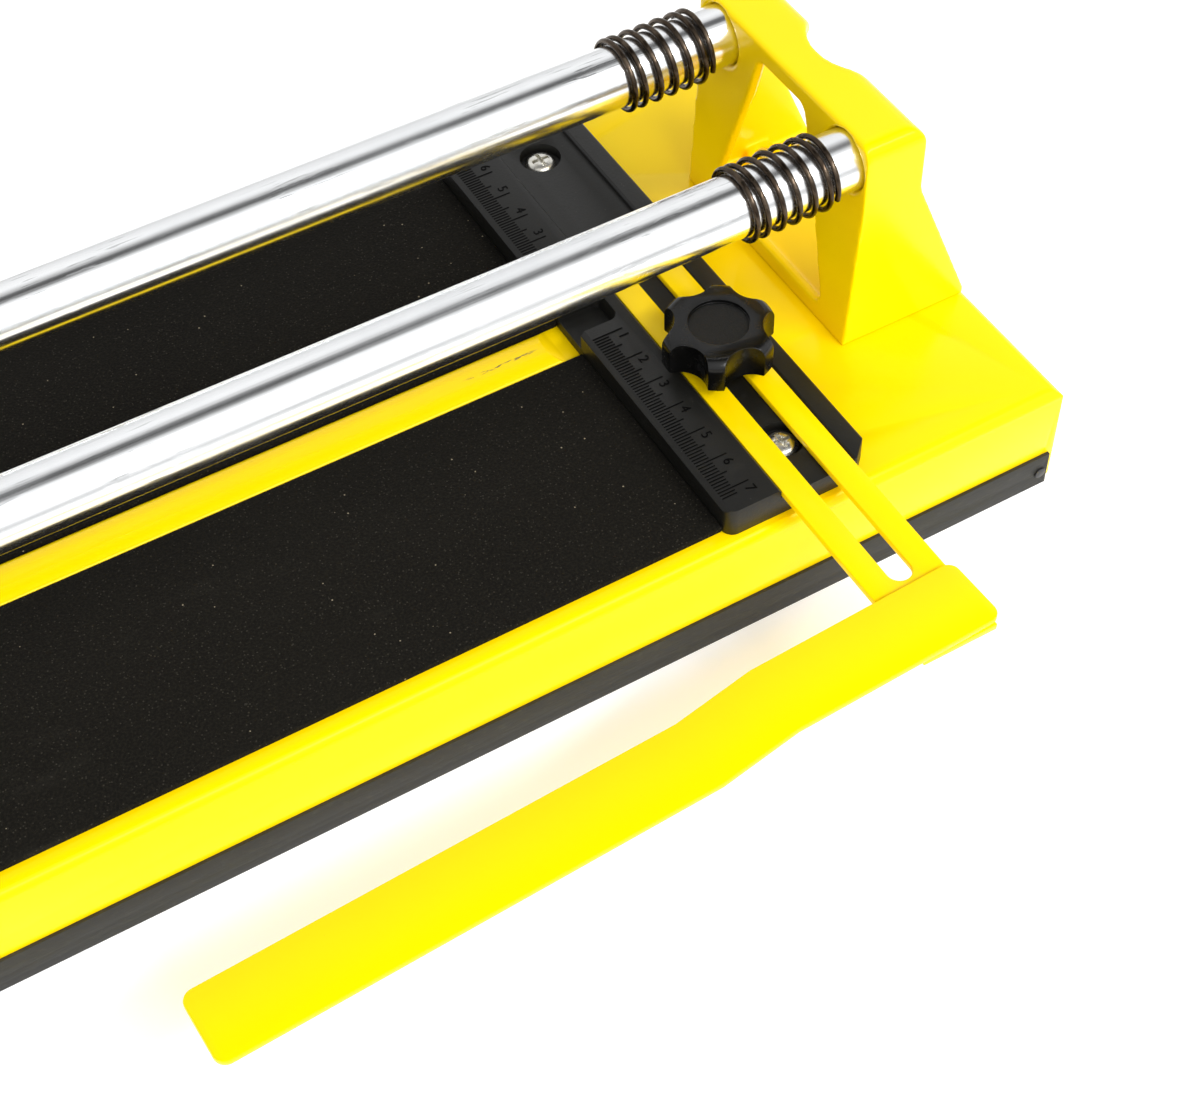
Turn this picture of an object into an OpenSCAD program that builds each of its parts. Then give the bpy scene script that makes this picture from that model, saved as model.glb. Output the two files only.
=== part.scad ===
// Tile cutter, 400 mm class: two rails over a pressed steel base, a carriage with a
// scoring lever, a measuring fence and a sliding side stop.
// X runs along the rails, Y across the base away from the user, Z up.
// The origin is the middle of the base, on the bench.

/* [Base] */
// Length of the pressed base
base_len = 600; // [480:10:800]
// Width of the pressed base
base_w = 160; // [150:2:190]
// Height of the base top above the bench
base_h = 33.5; // [28:0.5:40]
// Thickness of the base sheet
sheet_t = 2; // [1.5:0.5:3]
// Height of the rubber strip round the foot of the skirt
strip_h = 11; // [8:0.5:16]
// Height of the breaking ridge above the base top
ridge_h = 2.6; // [2.2:0.2:4]
// Width of the breaking ridge
ridge_w = 13; // [10:1:16]
// Thickness of the foam pads
pad_t = 1.9; // [1:0.1:2.1]

/* [Rails and brackets] */
// Outside diameter of a rail
rail_d = 16; // [12:1:20]
// Distance between the rail centres
rail_gap = 56.4; // [52:0.4:66]
// Height of the rail centres above the bench
rail_z = 88; // [80:1:110]
// Width of an end bracket
bracket_w = 76; // [74:1:92]
// Length of an end bracket's foot along the rails
bracket_l = 38.5; // [32:0.5:48]
// Diameter of the spring wire
wire_d = 1.5; // [1.2:0.1:1.9]
// Free length of a buffer spring
spring_l = 25.5; // [20:0.5:38]

/* [Fence] */
// Distance from the fence's working face to the end of the base
fence_in = 100; // [96:1:130]
// Width of the fence along the rails
fence_w = 42; // [40:1:50]
// Length of the fence across the base
fence_l = 154; // [140:1:154]
// Height of the rule above the base top
rule_h = 8.8; // [8.4:0.2:14]

/* [Side stop] */
// Width of the slotted arm
arm_w = 20.4; // [18:0.2:20.6]
// Thickness of the stop's steel
stop_t = 2; // [1.5:0.5:2]
// Width of the slot in the arm
slot_w = 6.4; // [6.2:0.2:8]
// Length of the cross bar
bar_l = 200; // [150:5:260]
// Width of the cross bar
bar_w = 19; // [14:1:22]
// Angle the cross bar is welded at
bar_skew = 2.3; // [0:0.1:3]
// Drop of the cross bar from the arm down to tile level
bar_drop = 5.2; // [3:0.1:5.4]
// Distance the stop is drawn out, from the middle of the base to the bar's near edge
stop_out = 116.6; // [80:0.2:140]
// Diameter over the knob's lobes
knob_d = 30; // [26:1:34]

/* [Carriage and lever] */
// Length of the carriage along the rails
carriage_l = 70; // [64:1:84]
// Distance from the middle of the base at which the carriage is parked
park = 190; // [150:1:194]
// Diameter of the scoring wheel
wheel_d = 22; // [16:1:24]
// Length of the handle tube
handle_l = 210; // [120:5:260]
// Diameter of the handle tube
handle_d = 16; // [12:1:18]
// Lean of the parked handle above the horizontal
handle_lean = 32; // [28:1:36]

/* [Hidden] */
$fn = 64;
eps = 0.01;
run_gap = 0.05;                          // radial gap of a running fit
free_gap = 0.4;                          // gap between pieces that pass each other

// base
fold_r = 3.5;                            // radius of the folded top edge
end_fold_r = 5;                          // radius of the fold at the two ends
corner_r = 1.5;                          // edge where a long skirt meets an end skirt
skirt_z = 1.5;                           // the skirt ends this far above the bench
strip_t = 1;                             // thickness of the rubber outside the skirt
strip_in = 1.6;                          // and inside it
strip_len = base_len - 5;                // the strip stops short of the corners
rivet_x = strip_len / 2 - 2.4;
rivet_z = 5;
rivet_d = 1.8;
rivet_head_d = 3.2;
rivet_head_t = 0.5;
rivet_tail = 4;
pad_margin = 5.5;                        // yellow margin outside each pad
pad_end = 12;                            // from a pad's far end to the left bracket
ridge_run = 6;                           // length of the ridge's sloping end
rail_y = rail_gap / 2;

// fence
fence_x = base_len / 2 - fence_in;       // working face of the fence
fence_y = fence_l / 2;
floor_h = 6;                             // channel floor above the base top
border_w = 6;                            // border beside the channel
channel_w = 21;
channel_u = fence_w - border_w - channel_w;
arm_x = fence_x + channel_u + channel_w / 2;
border_h = floor_h + stop_t - 0.2;
edge_c = 1.2;                            // chamfer along the working edge
rim_c = 0.6;                             // chamfer along the other edges
corner_cut = 5;                          // cut corner of the border
plan_r = 3;
recess_l = 11.5;                         // recess that lets the wheel run past the tile's end
recess_w = 12;
recess_z = 3;
fence_screw_y = 61;
screw_head_d = 8.7;
screw_head_t = 2.4;
screw_bore_d = 11.5;
screw_seat = 3;
screw_d = 4;
clamp_y = -31.4;                         // place of the clamp bolt along the channel
bolt_d = 6;
bolt_head_d = 12;
bolt_head_t = 3;

// brackets
wall = 3;
bracket_face = base_len / 2 - 2;         // outer end of a bracket's foot
bracket_in = bracket_face - bracket_l;   // inner end of a bracket's foot
lean_in = 2.8;                           // how far the inner face leans back at the rails
boss_l = 17.6;                             // length of a rail socket
boss_r = bracket_w / 2 - rail_y;
socket_floor = 2;
mouth_gap = 0.7;                         // wider mouth of each socket
bracket_top = rail_z + rail_d / 2 + 1.6;
face_x = bracket_in + lean_in;           // inner face at rail height
back_x = face_x + boss_l;
lip_h = 5;
floor_t = 3;
opening_w = 53;
opening_top_w = 20;
roof_t = 5.6;
waist_r = 16;                            // hollow in the back of the roof
waist_depth = 7;
bracket_screw_y = bracket_w / 2 - 7.5;
bracket_screw_x = bracket_in + 20;
screw_boss_r = 5;
screw_boss_h = 5;
bracket_screw_l = 6;
rail_end = back_x - socket_floor - free_gap;

// springs
spring_gap = 6.7;                        // between a spring and its bracket
coil_r = rail_d / 2 + free_gap + wire_d / 2;
coils = 6.5;
coil_steps = 18;                         // steps in one turn
spring_in = face_x - spring_gap - spring_l;

// side stop
arm_z = base_h + floor_h + run_gap;
arm_back = 10;                           // hidden end of the arm, past the middle
arm_front = -stop_out - bar_w;
slot_back = arm_back - 3;
slot_front = -stop_out + 2.5;
bar_z = arm_z + stop_t;
bar_right = arm_x + 11;
jog_x = 46;                              // start of the bend, from the arm's centre line
jog_l = 20;                              // length of the bend
bar_r = 3;
washer_t = 1.6;
washer_d = 13;
knob_z = bar_z + washer_t + 2 * run_gap;
knob_h = 11.5;
knob_foot_h = 2;
knob_foot_d = 18;
knob_recess_d = 15.6;
knob_round = 3.2;                        // rounding of the lobes at the top
knob_turn = 26;                          // the knob as it was left
scallop_r = 7;
scallop_depth = 4;

// carriage
cx = -park;
bush_l = 18;
bush_d = rail_d + 6;
barrel_r = bush_d / 2 + 3;
frame_w = 40;
frame_z0 = rail_z + 2;
frame_h = 12;
bay_w = 24;                              // bay between the cheeks for the lever
bay_l = carriage_l - 14;
pivot_z = rail_z + 21;
pivot_d = 8;
pivot_u = -4;                            // pivot from the carriage's middle
cheek_r = 10;
cheek_l = 34;
pin_head_d = 13;
pin_head_t = 4;

// lever, all from the pivot in the parked position
hub_r = 10;
lever_t = 16;
wheel_u = 22;
wheel_v = -54;
wheel_arm_w = 14;
wheel_t = 3;
wheel_bevel = 1.6;
axle_d = 5;
axle_head_d = 9;
axle_head_t = 3;
foot_u = -18;
foot_v = -53;
foot_arm_w = 10;
foot_pin_d = 5;
lug_t = 3;
foot_w = 72;
foot_l = 18;
foot_t = 3;
foot_drop = 7;                           // plate below the foot pin
wing_drop = 1.5;                         // how far the wings bend down
foot_pad_w = 16;
foot_pad_t = 3;
socket_l = 34;
socket_r = handle_d / 2 + 3;
tube_from = 12;
tube_wall = 1.5;
grip_l = 115;
grip_d = 28;
grip_over = 4;                           // grip past the end of the tube

// ---------------------------------------------------------------- helpers

function arc(x, y, r, a0, a1, n) =
    [for (i = [0 : n]) [x + r * cos(a0 + (a1 - a0) * i / n), y + r * sin(a0 + (a1 - a0) * i / n)]];

// points of an outline with its corners rounded, one radius for each corner
function rounded(pts, radii, n = 5) = [
    for (i = [0 : len(pts) - 1])
        let (b = pts[i],
             a = pts[(i + len(pts) - 1) % len(pts)] - b,
             c = pts[(i + 1) % len(pts)] - b,
             u = a / norm(a),
             v = c / norm(c),
             half = acos(u * v) / 2,
             mid = b + (u + v) / norm(u + v) * radii[i] / sin(half),
             p = b + u * radii[i] / tan(half) - mid,
             q = b + v * radii[i] / tan(half) - mid)
        each radii[i] == 0 ? [b]
            : [for (k = [0 : n]) let (d = p * (1 - k / n) + q * k / n) mid + d / norm(d) * radii[i]]
];

// extrudes an outline drawn in X and Z along Y, centred
module along_y(w) {
    translate([0, w / 2, 0]) rotate([90, 0, 0]) linear_extrude(w) children();
}

// extrudes an outline drawn in Y and Z along X, from x0
module along_x(x0, l) {
    translate([x0, 0, 0]) rotate([90, 0, 90]) linear_extrude(l) children();
}

module rod_y(r, y0, l) {
    translate([0, y0, 0]) rotate([-90, 0, 0]) cylinder(r = r, h = l);
}

module rod_x(r, x0, l) {
    translate([x0, 0, 0]) rotate([0, 90, 0]) cylinder(r = r, h = l);
}

module rounded_plan(l, w, r) {
    square([l - 2 * r, w], center = true);
    square([l, w - 2 * r], center = true);
    for (x = [-1, 1], y = [-1, 1])
        translate([x * (l / 2 - r), y * (w / 2 - r)]) circle(r);
}

// arm of width w from the pivot to the point (u, v), in the side view
module arm_outline(u, v, w) {
    rotate(atan2(v, u)) translate([0, -w / 2]) square([norm([u, v]), w]);
    translate([u, v]) circle(w / 2);
}

module front_or_rear(side) {
    if (side < 0) mirror([0, 1, 0]) children();
    else children();
}

module left_or_right(side) {
    if (side < 0) mirror([1, 0, 0]) children();
    else children();
}

// cross recess of a screw head
module cross_recess(size, depth) {
    for (a = [0, 90])
        rotate(a) translate([-size / 2, -size / 10, -depth]) cube([size, size / 5, depth + eps]);
}

// ---------------------------------------------------------------- base

module fold_outline(w, h, r) {
    polygon(concat([[-w / 2, 0], [w / 2, 0]],
                   arc(w / 2 - r, h - r, r, 0, 90, 6),
                   arc(-w / 2 + r, h - r, r, 90, 180, 6)));
}

module tray(l, w, h, fold, end_fold, corner) {
    intersection() {
        along_x(-l / 2, l) fold_outline(w, h, fold);
        along_y(w) fold_outline(l, h, end_fold);
        linear_extrude(h) rounded_plan(l, w, corner);
    }
}

module ridge() {
    x1 = fence_x - 2;
    x0 = -bracket_in + 3;
    intersection() {
        along_x(x0, x1 - x0)
            polygon(concat([[-ridge_w / 2, -1]],
                           [for (i = [0 : 10]) [-ridge_w / 2 * cos(180 * i / 10), ridge_h * sin(180 * i / 10)]],
                           [[ridge_w / 2, -1]]));
        along_y(2 * ridge_w)
            polygon([[x0, -1], [x1, -1], [x1 - ridge_run, ridge_h], [x0 + ridge_run, ridge_h]]);
    }
}

module base_plate() {
    color("yellow") difference() {
        union() {
            translate([0, 0, skirt_z]) difference() {
                tray(base_len, base_w, base_h - skirt_z, fold_r, end_fold_r, corner_r);
                translate([0, 0, -eps])
                    tray(base_len - 2 * sheet_t, base_w - 2 * sheet_t,
                         base_h - skirt_z - sheet_t + eps, fold_r - sheet_t / 2, end_fold_r - sheet_t / 2,
                         corner_r - sheet_t / 2);
            }
            translate([0, 0, base_h]) ridge();
        }
        translate([0, 0, base_h - 2 * sheet_t]) {
            for (s = [-1, 1]) translate([arm_x, s * fence_screw_y, 0])
                cylinder(d = screw_d + 2 * run_gap, h = 3 * sheet_t);
            translate([arm_x, clamp_y, 0]) cylinder(d = bolt_d + free_gap, h = 3 * sheet_t);
            for (x = [-1, 1], y = [-1, 1]) translate([x * bracket_screw_x, y * bracket_screw_y, 0])
                cylinder(d = screw_d + free_gap, h = 3 * sheet_t);
        }
        for (x = [-1, 1], y = [-1, 1]) translate([x * rivet_x, y * (base_w / 2 - sheet_t / 2), rivet_z])
            rod_y(rivet_d / 2 + run_gap, -2 * sheet_t, 4 * sheet_t);
    }
}

module pad(side) {
    y0 = ridge_w / 2 + free_gap / 2;
    x0 = -bracket_in + pad_end;
    color("dimgray") front_or_rear(side)
        translate([x0, y0, base_h]) cube([fence_x - run_gap - x0, base_w / 2 - pad_margin - y0, pad_t]);
}

module strip(side) {
    y0 = base_w / 2 - sheet_t - strip_in;
    y1 = base_w / 2 + strip_t;
    color("black") front_or_rear(side) difference() {
        union() {
            along_x(-strip_len / 2, strip_len)
                polygon([[y0, 0], [y1, 0], [y1, strip_h], [base_w / 2 + run_gap, strip_h],
                         [base_w / 2 + run_gap, skirt_z - run_gap], [y0, skirt_z - run_gap]]);
            translate([-base_len / 2 + end_fold_r, y0, skirt_z - 2 * run_gap])
                cube([base_len - 2 * end_fold_r, strip_in - run_gap, strip_h - skirt_z]);
        }
        for (x = [-1, 1]) translate([x * rivet_x, y0, rivet_z])
            rod_y(rivet_d / 2 + run_gap, -1, base_w);
    }
}

module rivet(sx, sy) {
    y1 = base_w / 2 + strip_t;
    color("dimgray") front_or_rear(sy) translate([sx * rivet_x, y1, rivet_z]) {
        rod_y(rivet_d / 2, -rivet_tail, rivet_tail + eps);
        rod_y(rivet_head_d / 2, 0, rivet_head_t);
    }
}

// ---------------------------------------------------------------- fence

module fence_outline() {
    polygon([[0, 0], [0, rule_h - edge_c], [edge_c, rule_h], [channel_u - rim_c, rule_h],
             [channel_u, rule_h - rim_c], [channel_u, floor_h], [channel_u + channel_w, floor_h],
             [channel_u + channel_w, border_h - rim_c], [channel_u + channel_w + rim_c, border_h],
             [fence_w - rim_c, border_h], [fence_w, border_h - rim_c], [fence_w, 0]]);
}

module fence_plan() {
    polygon(rounded([[0, -fence_y], [fence_w - corner_cut, -fence_y], [fence_w, -fence_y + corner_cut],
                     [fence_w, fence_y - corner_cut], [fence_w - corner_cut, fence_y], [0, fence_y]],
                    [plan_r, 0, 0, 0, 0, plan_r]));
}

module fence() {
    color("#202020") translate([fence_x, 0, base_h]) difference() {
        intersection() {
            along_y(fence_l) fence_outline();
            linear_extrude(rule_h) fence_plan();
        }
        translate([0, 0, recess_z]) linear_extrude(rule_h)
            polygon(rounded([[-1, -recess_w / 2], [recess_l, -recess_w / 2],
                             [recess_l, recess_w / 2], [-1, recess_w / 2]], [0, 2.5, 2.5, 0]));
        translate([arm_x - fence_x, 0, -1]) {
            for (s = [-1, 1]) translate([0, s * fence_screw_y, 0]) {
                cylinder(d = screw_d + free_gap, h = floor_h + 2);
                translate([0, 0, 1 + screw_seat]) cylinder(d = screw_bore_d, h = floor_h);
            }
            translate([0, clamp_y, 0]) cylinder(d = bolt_d + free_gap, h = floor_h + 2);
        }
    }
}

module fence_screw(side) {
    color("silver") translate([arm_x, side * fence_screw_y, base_h + screw_seat]) {
        translate([0, 0, -screw_seat - sheet_t - 3]) cylinder(d = screw_d, h = screw_seat + sheet_t + 3);
        difference() {
            rotate_extrude() polygon([[0, 0], [screw_head_d / 2, 0], [screw_head_d / 2, 0.8],
                                      [screw_head_d / 2 - 0.9, screw_head_t - 0.5],
                                      [screw_head_d / 2 - 2.2, screw_head_t], [0, screw_head_t]]);
            translate([0, 0, screw_head_t]) cross_recess(5, 1.4);
        }
    }
}

module clamp_bolt() {
    color("silver") translate([arm_x, clamp_y, base_h - sheet_t]) {
        translate([0, 0, -bolt_head_t]) cylinder(d = bolt_head_d, h = bolt_head_t);
        cylinder(d = bolt_d, h = knob_z - base_h + sheet_t + knob_h - 3.5);
    }
}

// ---------------------------------------------------------------- brackets and rails

module bracket_side() {
    slope_z = rail_z - boss_r - 0.5;
    polygon(rounded([[bracket_in, base_h], [bracket_face, base_h], [bracket_face, base_h + 1.5],
                     [back_x, slope_z], [back_x, bracket_top], [face_x, bracket_top],
                     [face_x, slope_z]], [0, 0, 0, 6, 5, 1.2, 6]));
}

module bracket_front() {
    w = bracket_w / 2;
    polygon(rounded([[-w, base_h], [w, base_h], [w, bracket_top], [-w, bracket_top]], [0, 0, 4, 4]));
}

// inside of the shell: it follows the leaning inner face and is open at the back
module bracket_hollow() {
    along_y(bracket_w - 2 * wall)
        polygon([[bracket_in + wall, base_h + floor_t], [bracket_face + 1, base_h + floor_t],
                 [bracket_face + 1, bracket_top - roof_t], [face_x + wall, bracket_top - roof_t],
                 [face_x + wall, rail_z - boss_r]]);
}

module bracket_opening() {
    z0 = base_h + lip_h;
    z1 = bracket_top - roof_t;
    along_x(bracket_in - 1, lean_in + wall + 2)
        polygon(rounded([[-opening_w / 2, z0], [opening_w / 2, z0],
                         [opening_top_w / 2, z1], [-opening_top_w / 2, z1]], [2.5, 2.5, 3, 3]));
}

module bracket(side) {
    color("yellow") left_or_right(side) difference() {
        union() {
            difference() {
                intersection() {
                    along_y(bracket_w) bracket_side();
                    along_x(bracket_in - 1, bracket_l + 2) bracket_front();
                }
                bracket_hollow();
                bracket_opening();
            }
            intersection() {
                along_y(bracket_w) bracket_side();
                for (s = [-1, 1]) translate([0, s * rail_y, rail_z]) rod_x(boss_r - 0.6, face_x + 1, boss_l - 1.6);
            }
            for (s = [-1, 1]) {
                translate([bracket_screw_x, s * bracket_screw_y, base_h + 1]) cylinder(r = screw_boss_r, h = screw_boss_h);
            }
        }
        for (s = [-1, 1]) {
            translate([0, s * rail_y, rail_z]) {
                rod_x(rail_d / 2 + run_gap, face_x - 2, boss_l + 2 - socket_floor);
                rod_x(rail_d / 2 + mouth_gap, face_x - 2, 3);
            }
            translate([bracket_screw_x, s * bracket_screw_y, base_h - 1])
                cylinder(d = screw_d + 2 * run_gap, h = bracket_screw_l + 2);
        }
        translate([back_x - waist_depth + waist_r, 0, bracket_top - 2 * roof_t])
            cylinder(r = waist_r, h = 3 * roof_t);
    }
}

module bracket_screw(sx, sy) {
    color("silver") translate([sx * bracket_screw_x, sy * bracket_screw_y, base_h - sheet_t]) {
        cylinder(d = screw_d, h = sheet_t + bracket_screw_l);
        difference() {
            translate([0, 0, -screw_head_t]) cylinder(d = screw_head_d, h = screw_head_t);
            translate([0, 0, -screw_head_t]) mirror([0, 0, 1]) cross_recess(5, 1.2);
        }
    }
}

module rail(side) {
    color("silver") translate([0, side * rail_y, rail_z]) difference() {
        rod_x(rail_d / 2, -rail_end, 2 * rail_end);
        rod_x(rail_d / 2 - 1.5, -rail_end - 1, 2 * rail_end + 2);
    }
}

// share of the spring's length reached after t turns: the end coils lie close together
function spring_rise(t) =
    let (close = wire_d * 1.3 / (spring_l - wire_d), open = (1 - 2 * close) / (coils - 2))
    t < 1 ? close * t : t > coils - 1 ? 1 - close * (coils - t) : close + open * (t - 1);

module spring(sx, sy) {
    sides = 6;
    last = coils * coil_steps;
    rings = [for (i = [0 : last])
        let (a = 360 * i / coil_steps + 15, x = wire_d / 2 + (spring_l - wire_d) * spring_rise(i / coil_steps))
        for (k = [0 : sides - 1])
            let (b = 360 * k / sides, r = coil_r + wire_d / 2 * cos(b))
            [x + wire_d / 2 * sin(b), r * cos(a), r * sin(a)]];
    faces = concat([[for (k = [0 : sides - 1]) k]],
        [for (i = [0 : last - 1], k = [0 : sides - 1])
            [i * sides + k, (i + 1) * sides + k, (i + 1) * sides + (k + 1) % sides, i * sides + (k + 1) % sides]],
        [[for (k = [0 : sides - 1]) last * sides + sides - 1 - k]]);
    color("dimgray") rotate(sx < 0 ? 180 : 0) translate([spring_in, sx * sy * rail_y, rail_z])
        polyhedron(points = rings, faces = faces, convexity = 10);
}

// ---------------------------------------------------------------- side stop

module stop_arm() {
    slot_l = slot_back - slot_front;
    color("yellow") translate([arm_x, 0, arm_z]) linear_extrude(stop_t) difference() {
        translate([-arm_w / 2, arm_front]) square([arm_w, arm_back - arm_front]);
        translate([0, (slot_back + slot_front) / 2]) {
            square([slot_w, slot_l - slot_w], center = true);
            for (s = [-1, 1]) translate([0, s * (slot_l - slot_w) / 2]) circle(d = slot_w);
        }
    }
}

// the bar steps down past the fence, so that its long end is level with a tile on the pads
module stop_bar() {
    left = bar_right - bar_l;
    x1 = arm_x - jog_x;
    x0 = x1 - jog_l;
    cut = stop_t * tan(atan2(bar_drop, jog_l) / 2);
    color("yellow") translate([arm_x, -stop_out, bar_z]) rotate(bar_skew) translate([-arm_x, 0, 0])
        intersection() {
            translate([0, -bar_w / 2, 0]) along_y(bar_w)
                polygon([[bar_right, 0], [bar_right, stop_t], [x1 - cut, stop_t], [x0 - cut, stop_t - bar_drop],
                         [left, stop_t - bar_drop], [left, -bar_drop], [x0, -bar_drop], [x1, 0]]);
            translate([(left + bar_right) / 2, -bar_w / 2, -bar_drop - 1])
                linear_extrude(bar_drop + stop_t + 2) rounded_plan(bar_l, bar_w, bar_r);
        }
}

module clamp_washer() {
    color("silver") translate([arm_x, clamp_y, bar_z + run_gap]) difference() {
        cylinder(d = washer_d, h = washer_t);
        translate([0, 0, -1]) cylinder(d = bolt_d + 2 * run_gap, h = washer_t + 2);
    }
}

module knob() {
    r = knob_d / 2;
    color("#1c1c1c") translate([arm_x, clamp_y, knob_z]) difference() {
        union() {
            cylinder(d = knob_foot_d, h = knob_foot_h + 1);
            translate([0, 0, knob_foot_h]) intersection() {
                linear_extrude(knob_h - knob_foot_h) difference() {
                    circle(r + 1);
                    for (i = [0 : 5]) rotate(60 * i + knob_turn)
                        translate([r - scallop_depth + scallop_r, 0]) circle(scallop_r);
                }
                rotate_extrude() polygon(rounded([[0, 0], [r, 0], [r, knob_h - knob_foot_h], [0, knob_h - knob_foot_h]],
                                                 [0, 0.6, knob_round, 0]));
            }
        }
        translate([0, 0, knob_h - 1]) cylinder(d = knob_recess_d, h = 2);
        translate([0, 0, -1]) cylinder(d = bolt_d + 2 * run_gap, h = knob_h - 2);
    }
}

// ---------------------------------------------------------------- carriage

module carriage() {
    color("#303030") translate([cx, 0, 0]) difference() {
        union() {
            for (s = [-1, 1]) translate([0, s * rail_y, rail_z]) rod_x(barrel_r, -carriage_l / 2, carriage_l);
            translate([0, 0, frame_z0 + frame_h / 2]) cube([carriage_l, frame_w, frame_h], center = true);
            translate([pivot_u, 0, 0]) along_y(frame_w) {
                polygon([[-cheek_l / 2, frame_z0], [cheek_l / 2, frame_z0], [cheek_r * 0.8, pivot_z + cheek_r * 0.6],
                         [-cheek_r * 0.8, pivot_z + cheek_r * 0.6]]);
                translate([0, pivot_z]) circle(cheek_r);
            }
        }
        translate([0, 0, pivot_z]) cube([bay_l, bay_w, 2 * (pivot_z - frame_z0) + 2], center = true);
        for (s = [-1, 1]) translate([0, s * rail_y, rail_z])
            rod_x(bush_d / 2 + run_gap, -carriage_l / 2 - 1, carriage_l + 2);
        translate([pivot_u, 0, pivot_z]) rod_y(pivot_d / 2 + run_gap, -frame_w, 2 * frame_w);
    }
}

module bush(sx, sy) {
    color("tan") translate([cx + sx * (carriage_l - bush_l) / 2, sy * rail_y, rail_z]) difference() {
        rod_x(bush_d / 2, -bush_l / 2, bush_l);
        rod_x(rail_d / 2 + run_gap, -bush_l, 2 * bush_l);
    }
}

module at_pivot() {
    translate([cx + pivot_u, 0, pivot_z]) children();
}

module pivot_pin() {
    y0 = frame_w / 2;
    color("silver") at_pivot() {
        rod_y(pivot_d / 2, -y0 - eps, 2 * y0 + 7);
        rod_y(pin_head_d / 2, -y0 - pin_head_t, pin_head_t);
    }
}

module pin_nut() {
    color("silver") at_pivot() translate([0, frame_w / 2, 0]) rotate([-90, 0, 0]) difference() {
        cylinder(d = pin_head_d, h = 5, $fn = 6);
        translate([0, 0, -1]) cylinder(r = pivot_d / 2 + run_gap, h = 7);
    }
}

// ---------------------------------------------------------------- lever

// places children, drawn along +X, along the handle
module along_handle() {
    at_pivot() rotate([0, -(180 - handle_lean), 0]) children();
}

module lever() {
    color("#303030") difference() {
        union() {
            at_pivot() {
                rod_y(hub_r, -bay_w / 2 + free_gap, bay_w - 2 * free_gap);
                along_y(lever_t) {
                    arm_outline(wheel_u, wheel_v, wheel_arm_w);
                    arm_outline(foot_u, foot_v, foot_arm_w);
                }
            }
            along_handle() rod_x(socket_r, 4, socket_l);
        }
        at_pivot() {
            rod_y(pivot_d / 2 + run_gap, -bay_w, 2 * bay_w);
            translate([wheel_u, 0, wheel_v]) {
                rod_y(axle_d / 2 + run_gap, -lever_t, 2 * lever_t);
                rod_y(wheel_d / 2 + 1.5, -wheel_t / 2 - free_gap, wheel_t + 2 * free_gap);
            }
            translate([foot_u, 0, foot_v]) rod_y(foot_pin_d / 2 + run_gap, -lever_t, 2 * lever_t);
        }
        along_handle() rod_x(handle_d / 2 + run_gap, tube_from - free_gap, socket_l);
    }
}

module handle_tube() {
    color("silver") along_handle() difference() {
        rod_x(handle_d / 2, tube_from, handle_l);
        rod_x(handle_d / 2 - tube_wall, tube_from - 1, handle_l + 2);
    }
}

module handle_grip() {
    end = tube_from + handle_l + grip_over;
    r = grip_d / 2;
    color("#1c1c1c") along_handle() difference() {
        translate([end - grip_l, 0, 0]) rotate([0, 90, 0]) rotate_extrude()
            polygon(concat([[0, 0], [r - 2, 0], [r, 2], [r, 8], [r - 2, 16], [r - 1, grip_l / 2], [r, grip_l - 14]],
                           arc(r - 6, grip_l - 6, 6, 0, 90, 5), [[0, grip_l]]));
        rod_x(handle_d / 2 + run_gap, end - grip_l - 1, grip_l + 1 - grip_over + free_gap);
    }
}

module wheel() {
    color("silver") at_pivot() translate([wheel_u, 0, wheel_v]) rotate([-90, 0, 0])
        rotate_extrude() polygon([[axle_d / 2 + run_gap, -wheel_t / 2], [wheel_d / 2 - wheel_bevel, -wheel_t / 2],
                                  [wheel_d / 2, -0.1], [wheel_d / 2, 0.1],
                                  [wheel_d / 2 - wheel_bevel, wheel_t / 2], [axle_d / 2 + run_gap, wheel_t / 2]]);
}

module wheel_axle() {
    color("silver") at_pivot() translate([wheel_u, 0, wheel_v]) {
        rod_y(axle_d / 2, -lever_t / 2 - eps, lever_t + 5.5);
        rod_y(axle_head_d / 2, -lever_t / 2 - axle_head_t, axle_head_t);
    }
}

module axle_nut() {
    color("silver") at_pivot() translate([wheel_u, lever_t / 2, wheel_v]) rotate([-90, 0, 0]) difference() {
        cylinder(d = axle_head_d, h = 4, $fn = 6);
        translate([0, 0, -1]) cylinder(r = axle_d / 2 + run_gap, h = 6);
    }
}

// ---------------------------------------------------------------- breaking foot

module foot() {
    lug_y = lever_t / 2 + free_gap;
    z0 = -foot_drop - foot_t;
    color("#303030") at_pivot() translate([foot_u, 0, foot_v]) difference() {
        union() {
            along_x(-foot_l / 2, foot_l)
                polygon([[-foot_w / 2, z0 - wing_drop], [-lug_y - lug_t, z0], [lug_y + lug_t, z0],
                         [foot_w / 2, z0 - wing_drop], [foot_w / 2, z0 - wing_drop + foot_t],
                         [lug_y + lug_t, z0 + foot_t], [-lug_y - lug_t, z0 + foot_t],
                         [-foot_w / 2, z0 - wing_drop + foot_t]]);
            for (s = [-1, 1]) translate([0, s * (lug_y + lug_t / 2), 0]) along_y(lug_t) {
                circle(foot_arm_w / 2);
                translate([-foot_arm_w / 2, -foot_drop - 1]) square([foot_arm_w, foot_drop + 1]);
            }
        }
        rod_y(foot_pin_d / 2 + run_gap, -foot_w / 2, foot_w);
    }
}

module foot_pin() {
    y1 = lever_t / 2 + free_gap + lug_t + free_gap;
    color("silver") at_pivot() translate([foot_u, 0, foot_v]) {
        rod_y(foot_pin_d / 2, -y1 - eps, 2 * y1 + 2 * eps);
        for (s = [-1, 1]) rod_y(foot_pin_d / 2 + 1.5, s > 0 ? y1 : -y1 - 2, 2);
    }
}

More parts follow.
